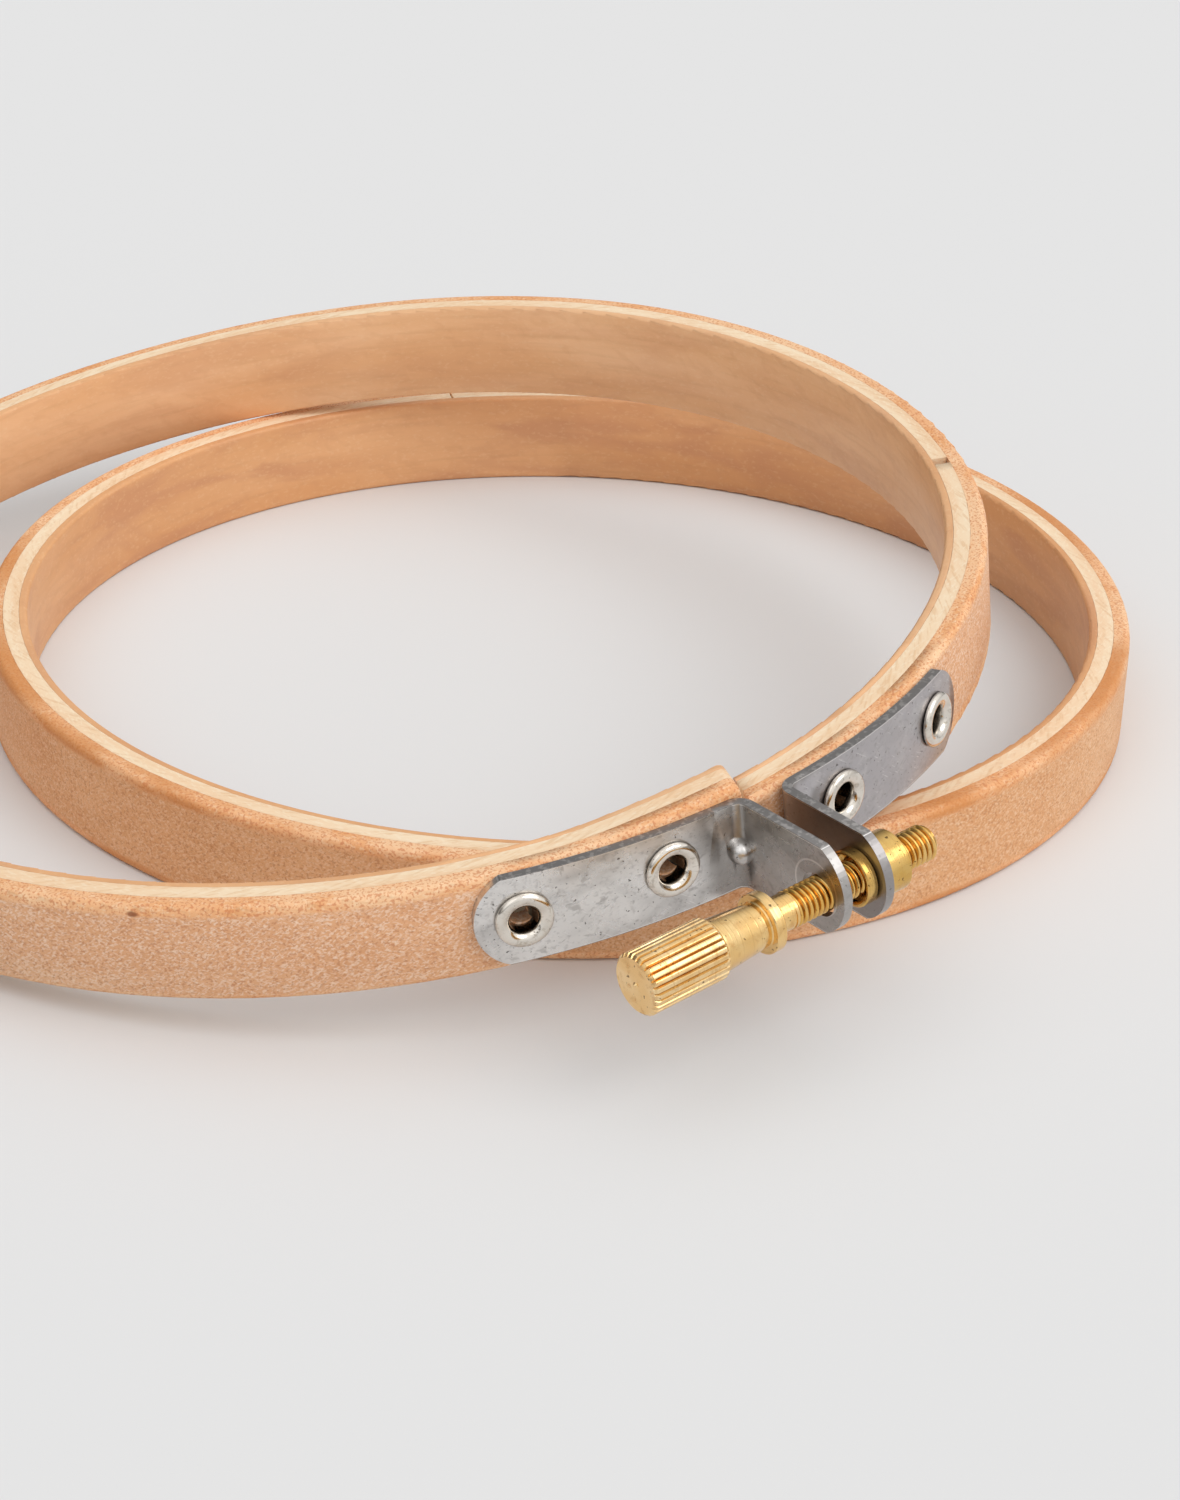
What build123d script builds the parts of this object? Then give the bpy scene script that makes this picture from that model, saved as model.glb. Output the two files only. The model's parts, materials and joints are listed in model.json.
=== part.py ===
from build123d import *
import math
import os

os.makedirs("parts", exist_ok=True)

# An embroidery hoop: a split outer hoop, drawn tight by a thumb screw, lies tilted on a plain inner hoop.
# The inner hoop stands on z = 0 with its centre at the origin. Lengths are in millimetres.

# Both hoops are bent from three wooden plies, the one in the bore the thinnest
hoop_depth = 8.75
inner_ply_thickness = 0.75
core_ply_thickness = 1.4
outer_ply_thickness = 1.45
glue_gap = 0.02
inner_hoop_bore = 47.2
outer_hoop_bore = 50.9
outer_corner_radius = 0.6
inner_hoop_bore_corner = 0.35
outer_hoop_bore_corner = 0.25
full_turn = 360

# How the outer hoop lies on the inner one, as in the photo
centre_distance = 19.34
rise_direction = 28.2
rest_gap = 0.1
floor_gap = 0.02

# Angles about the outer hoop: the middle of the hardware, and the split, a saw cut at a slant
hardware_angle = -52.43
split_angle = -53.4
split_slant_angle = -19
split_width = 1.15
outer_core_butt_angle = 9.46
outer_core_butt_width = 1.1
inner_core_butt_angle = 103.15
inner_core_butt_width = 0.2

# Stamped steel brackets
plate_thickness = 0.8
bracket_width = 7.4
seat_gap = 0.02
left_half_gap = 1.9
right_half_gap = 1.3
bend_radius = 0.8
ear_reach = 12.2
end_arc_depth = 2.4
strap_reach = 24.5
left_bracket_lift = 0.6
right_bracket_lift = -0.1
bump_radius = 1.0
bump_sink = 0.35
bump_drop = 0.3
dent_radius = 0.75
dent_offset = 0.25

# Eyelets through the straps and the wood: the near ones set off from the bend, the far ones from the end
left_near_eyelet_offset = 5.4
right_near_eyelet_offset = 4.7
far_eyelet_inset = 3.75
left_near_eyelet_lift = 0.4
eyelet_bore = 0.93
eyelet_mouth = 1.25
eyelet_tube = 1.15
eyelet_flange = 2.1
eyelet_dome = 0.55
eyelet_lip = 0.2
eyelet_hole = 1.2
clinch_radius = 1.6
clinch_depth = 0.4
clinch_recess = 0.06
clinch_lip = 0.15
countersink_radius = 1.95
countersink_depth = 0.6

# Thumb screw and barrel nut, with stations along the axis counted from the middle of the right ear
screw_height = 9.3
screw_droop_angle = 1.5
thread_radius = 1.45
thread_clearance = 0.1
tip_station = 6.3
tip_chamfer = 0.35
shank_radius = 1.4
thread_start = -7.6
collar_radius = 2.35
collar_edge = 0.08
collar_front = -9.3
collar_back = -10.2
neck_front_radius = 1.75
neck_back_radius = 2.15
head_front = -14.5
head_back = -21.4
head_radius = 2.42
head_chamfer = 0.25
knurl_count = 28
knurl_depth = 0.2
knurl_width = 0.36
centre_pip_radius = 0.35
centre_pip_depth = 0.2
left_ear_hole = 1.75
right_ear_hole = 2.0
nut_neck_radius = 1.93
nut_rim_radius = 2.25
nut_rim_start = -1.5
nut_seat_gap = 0.08
nut_barrel_radius = 2.4
nut_barrel_end = 2.7
nut_edge = 0.15
rim_flare = 0.4
cut_overrun = 1.0

# Sizes that follow
hoop_thickness = inner_ply_thickness + core_ply_thickness + outer_ply_thickness
inner_hoop_outside = inner_hoop_bore + hoop_thickness
outer_hoop_outside = outer_hoop_bore + hoop_thickness
contact_bore = outer_hoop_bore + outer_hoop_bore_corner
contact_rim = inner_hoop_outside - outer_corner_radius
contact_reach = (contact_bore**2 - contact_rim**2 + centre_distance**2) / (2 * centre_distance)
tilt = math.asin((hoop_depth + rest_gap) / (outer_hoop_outside - outer_corner_radius + contact_reach))
outer_hoop_lift = (outer_hoop_outside - outer_corner_radius) * math.sin(tilt)
outer_hoop_lift += outer_corner_radius * (1 - math.cos(tilt)) + floor_gap
rise = math.radians(rise_direction)

# The outer hoop's own frame: centre of its underside, Z along its axis
outer_frame = Plane(
    origin=(-centre_distance * math.cos(rise), -centre_distance * math.sin(rise), outer_hoop_lift),
    x_dir=(1, 0, 0),
    z_dir=(-math.sin(tilt) * math.cos(rise), -math.sin(tilt) * math.sin(rise), math.cos(tilt)),
)
outer_axis = Axis(outer_frame.origin, outer_frame.z_dir)


def on_outer_hoop(local_plane, turn=0):
    """A plane of the outer hoop's own frame, turned about the hoop, as a plane in space."""
    return Plane(outer_frame.location * Location((0, 0, 0), (0, 0, turn)) * local_plane.location)


def radial_plane(turn, height, radius):
    """The plane that faces straight out of the outer hoop at this angle, height and radius."""
    return on_outer_hoop(Plane(origin=(radius, 0, height), x_dir=(0, 1, 0), z_dir=(1, 0, 0)), turn)


# Each side of the split: which way it runs, half the gap between the ears, its bracket's middle height
strap_radius = outer_hoop_outside + seat_gap
strap_face = strap_radius + plate_thickness
mid_depth = hoop_depth / 2
sides = {
    "left": (-1, left_half_gap, mid_depth + left_bracket_lift),
    "right": (1, right_half_gap, mid_depth + right_bracket_lift),
}

# Each eyelet's angle about the outer hoop and its height
bend_reach = plate_thickness + bend_radius
far_place = strap_reach - far_eyelet_inset
eyelets = {
    "left_near_eyelet": ("left", left_half_gap + bend_reach + left_near_eyelet_offset, left_near_eyelet_lift),
    "left_far_eyelet": ("left", far_place, 0),
    "right_near_eyelet": ("right", right_half_gap + bend_reach + right_near_eyelet_offset, 0),
    "right_far_eyelet": ("right", far_place, 0),
}
eyelet_spots = {}
for eyelet_name, (side_name, place, lift) in eyelets.items():
    side, half_gap, height = sides[side_name]
    eyelet_spots[eyelet_name] = (hardware_angle + side * math.degrees(place / strap_face), height + lift)

# Plies of both hoops: a strip is a rounded section swept round its hoop. The inner hoop's strips close on
# themselves, its core with a tight butt joint. The outer hoop's strips end at the split, and its core is two
# strips that meet at an open butt joint.
ply_order = ("inner_ply", "core_ply", "outer_ply")
ply_thicknesses = (inner_ply_thickness, core_ply_thickness, outer_ply_thickness)
half_outer_butt = math.degrees(outer_core_butt_width / 2 / (outer_hoop_bore + inner_ply_thickness))
half_inner_butt = math.degrees(inner_core_butt_width / 2 / (inner_hoop_bore + inner_ply_thickness))
inner_core_start = inner_core_butt_angle + half_inner_butt
short_core = outer_core_butt_angle - half_outer_butt - split_angle
long_core_start = outer_core_butt_angle + half_outer_butt
plies = {
    "inner_hoop_inner_ply": (0, full_turn),
    "inner_hoop_core_ply": (inner_core_start, full_turn - 2 * half_inner_butt),
    "inner_hoop_outer_ply": (0, full_turn),
    "outer_hoop_inner_ply": (split_angle, full_turn),
    "outer_hoop_short_core_ply": (split_angle, short_core),
    "outer_hoop_long_core_ply": (long_core_start, split_angle + full_turn - long_core_start),
    "outer_hoop_outer_ply": (split_angle, full_turn),
}
for ply_name, (start, sweep) in plies.items():
    split_hoop = ply_name.startswith("outer_hoop")
    bore = outer_hoop_bore if split_hoop else inner_hoop_bore
    bore_corner = outer_hoop_bore_corner if split_hoop else inner_hoop_bore_corner
    level = [ply_name.endswith(ending) for ending in ply_order].index(True)
    low_radius = bore + sum(ply_thicknesses[:level]) + (glue_gap / 2 if level > 0 else 0)
    high_radius = bore + sum(ply_thicknesses[: level + 1]) - (glue_gap / 2 if level < 2 else 0)
    turned = Plane(Location((0, 0, 0), (0, 0, start)) * Plane.XZ.location)
    with BuildPart() as ply:
        with BuildSketch(on_outer_hoop(turned) if split_hoop else turned):
            with Locations(((low_radius + high_radius) / 2, hoop_depth / 2)):
                Rectangle(high_radius - low_radius, hoop_depth)
            if level == 0:
                fillet(vertices().group_by(Axis.X)[0], bore_corner)
            if level == 2:
                fillet(vertices().group_by(Axis.X)[-1], outer_corner_radius)
        revolve(axis=outer_axis if split_hoop else Axis.Z, revolution_arc=sweep)
        if split_hoop:
            saw_cut = Plane(Location((bore + hoop_thickness / 2, 0, mid_depth), (0, 0, split_slant_angle)))
            with Locations(on_outer_hoop(saw_cut, split_angle)):
                Box(
                    2 * hoop_thickness,
                    split_width,
                    hoop_depth + 2 * cut_overrun,
                    mode=Mode.SUBTRACT,
                )
            for angle, height in eyelet_spots.values():
                with Locations(radial_plane(angle, height, low_radius - cut_overrun)):
                    Cylinder(
                        eyelet_hole,
                        high_radius - low_radius + 2 * cut_overrun,
                        align=(Align.CENTER, Align.CENTER, Align.MIN),
                        mode=Mode.SUBTRACT,
                    )
        if split_hoop and level == 0:
            for angle, height in eyelet_spots.values():
                with Locations(radial_plane(angle, height, low_radius - countersink_depth)):
                    Cone(
                        2 * countersink_radius - eyelet_hole,
                        eyelet_hole,
                        2 * countersink_depth,
                        align=(Align.CENTER, Align.CENTER, Align.MIN),
                        mode=Mode.SUBTRACT,
                    )
    ply.part.label = ply_name
    export_step(ply.part, f"parts/{ply_name}.step")

# Brackets: the strap follows the hoop, turns out through a tight bend and stands up as an ear.
# Drawn along the hoop's axis with x out through the hardware and y round the hoop, away from the split.
bend_centre_reach = strap_face + bend_radius
end_angle = strap_reach / strap_face
ear_tip = outer_hoop_outside + ear_reach
raw_tip = ear_tip + cut_overrun / 2
raw_end_angle = end_angle + cut_overrun / 2 / strap_face
end_radius = ((bracket_width / 2) ** 2 + end_arc_depth**2) / (2 * end_arc_depth)
inside = bend_radius
outside = bend_radius + plate_thickness

# The screw's axis, at the middle of the right ear
droop = math.radians(screw_droop_angle)
screw_radius = outer_hoop_outside + screw_height
screw_middle = right_half_gap + plate_thickness / 2
screw_level = mid_depth + right_bracket_lift


def on_ring(radius, direction):
    return (radius * math.cos(direction), radius * math.sin(direction))


for side_name, (side, half_gap, height) in sides.items():
    profile_plane = on_outer_hoop(Plane.XY.offset(height - bracket_width / 2), hardware_angle)
    bend_y = half_gap + bend_reach
    bend_x = math.sqrt(bend_centre_reach**2 - bend_y**2)
    bend_angle = math.atan2(bend_y, bend_x)
    diagonal = (bend_angle + math.pi / 2) / 2
    half_strap = (bend_angle + end_angle) / 2

    def here(point):
        return (point[0], side * point[1])

    def from_bend(distance, direction):
        """The point this far from the bend's centre, inward and towards the split."""
        return (bend_x - distance * math.cos(direction), bend_y - distance * math.sin(direction))

    with BuildPart() as bracket:
        with BuildSketch(profile_plane):
            with BuildLine():
                Polyline(
                    here(from_bend(inside, math.pi / 2)),
                    here((raw_tip, half_gap + plate_thickness)),
                    here((raw_tip, half_gap)),
                    here(from_bend(outside, math.pi / 2)),
                )
                ThreePointArc(
                    here(from_bend(outside, math.pi / 2)),
                    here(from_bend(outside, diagonal)),
                    here(from_bend(outside, bend_angle)),
                )
                ThreePointArc(
                    here(from_bend(outside, bend_angle)),
                    here(on_ring(strap_radius, half_strap)),
                    here(on_ring(strap_radius, raw_end_angle)),
                )
                Line(here(on_ring(strap_radius, raw_end_angle)), here(on_ring(strap_face, raw_end_angle)))
                ThreePointArc(
                    here(on_ring(strap_face, raw_end_angle)),
                    here(on_ring(strap_face, half_strap)),
                    here(from_bend(inside, bend_angle)),
                )
                ThreePointArc(
                    here(from_bend(inside, bend_angle)),
                    here(from_bend(inside, diagonal)),
                    here(from_bend(inside, math.pi / 2)),
                )
            make_face()
        extrude(amount=bracket_width)

        # A pressed bump stiffens the bend, with its dent on the other face
        into_corner = (-math.cos(diagonal), -side * math.sin(diagonal), 0)
        bump_x, bump_y = here(from_bend(inside - bump_sink, diagonal))
        bump = Plane(origin=(bump_x, bump_y, height - bump_drop), z_dir=into_corner)
        with Locations(on_outer_hoop(bump, hardware_angle)):
            Sphere(bump_radius)
        dent_x, dent_y = here(from_bend(outside + dent_offset, diagonal))
        dent = Plane(origin=(dent_x, dent_y, height - bump_drop), z_dir=into_corner)
        with Locations(on_outer_hoop(dent, hardware_angle)):
            Sphere(dent_radius, mode=Mode.SUBTRACT)

        # Both ends are rounded: the ear's tip, and the end of the strap
        ear_end = Plane(origin=(ear_tip, 0, height), x_dir=(1, 0, 0), z_dir=(0, 1, 0))
        end_degrees = side * math.degrees(end_angle)
        strap_end = Plane(origin=(strap_face, 0, height), x_dir=(0, side, 0), z_dir=(1, 0, 0))
        for end, turn in ((ear_end, 0), (strap_end, end_degrees)):
            with BuildSketch(on_outer_hoop(end, hardware_angle + turn)):
                with Locations((-end_arc_depth / 2, 0)):
                    Rectangle(end_arc_depth + 2 * cut_overrun, bracket_width + 2 * cut_overrun)
                with Locations((-end_radius, 0)):
                    Circle(end_radius, mode=Mode.SUBTRACT)
            extrude(amount=half_gap + plate_thickness + cut_overrun, both=True, mode=Mode.SUBTRACT)

        # Holes for the eyelets and, in the ear, round the screw's axis
        for position in ("near", "far"):
            angle, spot_height = eyelet_spots[f"{side_name}_{position}_eyelet"]
            with Locations(radial_plane(angle, spot_height, strap_radius)):
                Cylinder(eyelet_hole, plate_thickness + 2 * cut_overrun, mode=Mode.SUBTRACT)
        ear_hole = left_ear_hole if side_name == "left" else right_ear_hole
        ear_middle = side * (half_gap + plate_thickness / 2)
        hole_level = screw_level + (screw_middle - ear_middle) * math.tan(droop)
        hole_plane = Plane(
            origin=(screw_radius, ear_middle, hole_level), x_dir=(1, 0, 0), z_dir=(0, 1, 0)
        )
        with Locations(on_outer_hoop(hole_plane, hardware_angle)):
            Cylinder(ear_hole, plate_thickness + 2 * cut_overrun, mode=Mode.SUBTRACT)
    bracket.part.label = f"{side_name}_bracket"
    export_step(bracket.part, f"parts/{side_name}_bracket.step")

# Eyelets: a domed ring outside, a tube through strap and wood, and a clinch sunk in the hoop's bore
for eyelet_name, (angle, height) in eyelet_spots.items():
    section = radial_plane(angle, height, 0)
    flange_seat = strap_face + seat_gap
    clinch_end = outer_hoop_bore + clinch_recess
    dome_top = flange_seat + eyelet_dome
    with BuildPart() as eyelet:
        with BuildSketch(Plane(origin=section.origin, x_dir=section.x_dir, z_dir=-section.y_dir)):
            with BuildLine():
                Polyline(
                    (eyelet_mouth, dome_top - eyelet_lip),
                    (eyelet_bore, flange_seat),
                    (eyelet_bore, clinch_end + clinch_depth - clinch_lip),
                    (clinch_radius - clinch_lip, clinch_end),
                    (clinch_radius, clinch_end + clinch_lip),
                    (eyelet_tube, clinch_end + clinch_depth),
                    (eyelet_tube, flange_seat),
                    (eyelet_flange, flange_seat),
                    (eyelet_flange, flange_seat + eyelet_lip),
                )
                ThreePointArc(
                    (eyelet_flange, flange_seat + eyelet_lip),
                    ((eyelet_mouth + eyelet_flange) / 2, dome_top),
                    (eyelet_mouth, dome_top - eyelet_lip),
                )
            make_face()
        revolve(axis=Axis(section.origin, section.z_dir))
    eyelet.part.label = eyelet_name
    export_step(eyelet.part, f"parts/{eyelet_name}.step")

# The screw's own frame: origin on the axis at the middle of the right ear, Z from the head to the tip
screw_frame = on_outer_hoop(
    Plane(
        origin=(screw_radius, screw_middle, screw_level),
        x_dir=(1, 0, 0),
        z_dir=(0, math.cos(droop), -math.sin(droop)),
    ),
    hardware_angle,
)
screw_axis = Axis(screw_frame.origin, screw_frame.z_dir)
screw_section = Plane(origin=screw_frame.origin, x_dir=screw_frame.x_dir, z_dir=-screw_frame.y_dir)

# Barrel nut: a flared rim on the split's side, a neck through the ear, a barrel beyond it
nut_bore = thread_radius + thread_clearance
near_face = -plate_thickness / 2 - nut_seat_gap
far_face = plate_thickness / 2 + nut_seat_gap
with BuildPart() as barrel_nut:
    with BuildSketch(screw_section):
        with BuildLine():
            Polyline(
                (nut_bore + rim_flare, nut_rim_start),
                (nut_rim_radius - nut_edge, nut_rim_start),
                (nut_rim_radius, nut_rim_start + nut_edge),
                (nut_rim_radius, near_face),
                (nut_neck_radius, near_face),
                (nut_neck_radius, far_face),
                (nut_barrel_radius, far_face),
                (nut_barrel_radius, nut_barrel_end - nut_edge),
                (nut_barrel_radius - nut_edge, nut_barrel_end),
                (nut_bore + nut_edge, nut_barrel_end),
                (nut_bore, nut_barrel_end - nut_edge),
                (nut_bore, nut_rim_start + 2 * rim_flare),
                close=True,
            )
        make_face()
    revolve(axis=screw_axis)
barrel_nut.part.label = "barrel_nut"
export_step(barrel_nut.part, "parts/barrel_nut.step")

# Thumb screw, turned from one bar: knurled head, tapering neck, collar, plain shank and threaded end
with BuildPart() as thumb_screw:
    with BuildSketch(screw_section):
        with BuildLine():
            Polyline(
                (0, head_back + centre_pip_depth),
                (centre_pip_radius, head_back),
                (head_radius - head_chamfer, head_back),
                (head_radius, head_back + head_chamfer),
                (head_radius, head_front - head_chamfer),
                (neck_back_radius, head_front),
                (neck_front_radius, collar_back),
                (collar_radius - collar_edge, collar_back),
                (collar_radius, collar_back + collar_edge),
                (collar_radius, collar_front - collar_edge),
                (collar_radius - collar_edge, collar_front),
                (shank_radius, collar_front),
                (shank_radius, thread_start),
                (thread_radius, thread_start + thread_radius - shank_radius),
                (thread_radius, tip_station - tip_chamfer),
                (thread_radius - tip_chamfer, tip_station),
                (0, tip_station),
                close=True,
            )
        make_face()
    revolve(axis=screw_axis)

    # Straight grooves all round the head give the fingers their grip
    head_start = screw_frame.origin + screw_frame.z_dir * head_front
    with BuildSketch(Plane(origin=head_start, x_dir=screw_frame.x_dir, z_dir=-screw_frame.z_dir)):
        with PolarLocations(head_radius, knurl_count):
            Polygon(
                (-knurl_depth, 0),
                (knurl_depth, knurl_width),
                (knurl_depth, -knurl_width),
                align=None,
            )
    extrude(amount=head_front - head_back, mode=Mode.SUBTRACT)
thumb_screw.part.label = "thumb_screw"
export_step(thumb_screw.part, "parts/thumb_screw.step")
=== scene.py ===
import json
import math

import bmesh
import bpy
from mathutils import Matrix, Vector


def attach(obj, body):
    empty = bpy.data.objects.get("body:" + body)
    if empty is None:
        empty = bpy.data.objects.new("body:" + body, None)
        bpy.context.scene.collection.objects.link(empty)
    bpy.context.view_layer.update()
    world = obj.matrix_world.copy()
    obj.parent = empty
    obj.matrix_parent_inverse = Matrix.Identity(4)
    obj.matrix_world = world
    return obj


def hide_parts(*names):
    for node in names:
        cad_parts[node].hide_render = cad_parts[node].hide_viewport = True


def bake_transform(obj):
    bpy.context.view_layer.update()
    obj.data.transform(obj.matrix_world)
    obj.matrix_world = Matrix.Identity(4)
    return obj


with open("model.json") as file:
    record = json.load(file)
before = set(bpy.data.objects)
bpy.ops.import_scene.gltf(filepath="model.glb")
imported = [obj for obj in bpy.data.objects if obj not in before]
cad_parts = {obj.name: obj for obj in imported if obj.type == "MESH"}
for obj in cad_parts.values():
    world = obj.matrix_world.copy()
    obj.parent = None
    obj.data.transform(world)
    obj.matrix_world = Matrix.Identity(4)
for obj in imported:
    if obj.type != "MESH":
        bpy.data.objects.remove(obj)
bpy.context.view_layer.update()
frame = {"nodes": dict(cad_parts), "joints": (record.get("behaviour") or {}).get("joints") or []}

# The inner hoop: three strips of birch veneer bent round a former and glued. It lies flat on the table.
# A smooth tan strip lines the bore, a pale core shows as a cream line on the edge, and the strip outside is
# speckled, with a sanded corner. All are sanded and waxed.
mm = 0.001
pattern_radius = 52.0  # in mm: lengths along every strip are measured on this one circle


def linear(code):
    """An sRGB hex colour as the linear colour that a shader takes."""
    parts = [int(code[i : i + 2], 16) / 255 for i in (1, 3, 5)]
    return [c / 12.92 if c <= 0.04045 else ((c + 0.055) / 1.055) ** 2.4 for c in parts] + [1]


def add(tree, kind, sockets=None, **settings):
    """One node with its settings, and with each socket linked or set."""
    node = tree.nodes.new(kind)
    for name, value in settings.items():
        setattr(node, name, value)
    for name, value in (sockets or {}).items():
        if isinstance(value, bpy.types.NodeSocket):
            tree.links.new(value, node.inputs[name])
        else:
            node.inputs[name].default_value = value
    return node


def finish_named(name):
    """An empty material with the tree and the shader that every finish starts from."""
    material = bpy.data.materials.new(name)
    material.use_nodes = True
    return material, material.node_tree, material.node_tree.nodes["Principled BSDF"]


def strip_space(tree, place, seam):
    """Where a point is on a bent strip, in mm: along it both ways from the point opposite its joint, which is
    at the seam angle in degrees, out from the hoop's axis, and up from its edge."""
    here = add(tree, "ShaderNodeTexCoord").outputs["Object"]
    place = place @ Matrix.Rotation(math.radians(seam + 180), 4, "Z")
    flat = add(
        tree,
        "ShaderNodeMapping",
        {"Vector": here, "Location": place.to_translation(), "Rotation": place.to_euler()},
        vector_type="TEXTURE",
    ).outputs[0]
    part = add(tree, "ShaderNodeSeparateXYZ", {0: flat}).outputs
    turn = add(tree, "ShaderNodeMath", {0: part["Y"], 1: part["X"]}, operation="ARCTAN2").outputs[0]
    along = add(tree, "ShaderNodeMath", {0: turn, 1: pattern_radius}, operation="MULTIPLY").outputs[0]
    level = add(tree, "ShaderNodeCombineXYZ", {"X": part["X"], "Y": part["Y"]}).outputs[0]
    reach = add(tree, "ShaderNodeVectorMath", {0: level}, operation="LENGTH").outputs["Value"]
    out = add(tree, "ShaderNodeMath", {0: reach, 1: 1000.0}, operation="MULTIPLY").outputs[0]
    up = add(tree, "ShaderNodeMath", {0: part["Z"], 1: 1000.0}, operation="MULTIPLY").outputs[0]
    return add(tree, "ShaderNodeCombineXYZ", {"X": along, "Y": out, "Z": up}).outputs[0]


def laid(tree, where, colour, layers):
    """Layers of noise over a colour, with the mask of each. A layer has its scale in cycles per mm, its lean
    in degrees about each axis, its detail and distortion, the noise at which it starts and is full, how much
    of it shows, and its colour."""
    masks = []
    for number, (scale, lean, detail, distortion, start, full, share, code) in enumerate(layers):
        turned = [math.radians(angle) for angle in lean]
        stretched = add(tree, "ShaderNodeMapping", {"Vector": where, "Rotation": turned})
        scaled = add(
            tree,
            "ShaderNodeMapping",
            {"Vector": stretched.outputs[0], "Location": (17.3 * number, 0, 0), "Scale": scale},
        )
        noise = add(
            tree,
            "ShaderNodeTexNoise",
            {"Vector": scaled.outputs[0], "Scale": 1.0, "Detail": detail, "Distortion": distortion},
        )
        mask = add(
            tree,
            "ShaderNodeMapRange",
            {"Value": noise.outputs[0], "From Min": start, "From Max": full, "To Max": share},
            interpolation_type="SMOOTHSTEP",
        ).outputs[0]
        mix = add(tree, "ShaderNodeMix", {0: mask, 6: colour, 7: linear(code)}, data_type="RGBA")
        colour = mix.outputs[2]
        masks.append(mask)
    return colour, masks


half_depth = 4.375
corner_starts, corner_full = 3.3, 3.75  # from the middle of the depth, in mm


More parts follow.
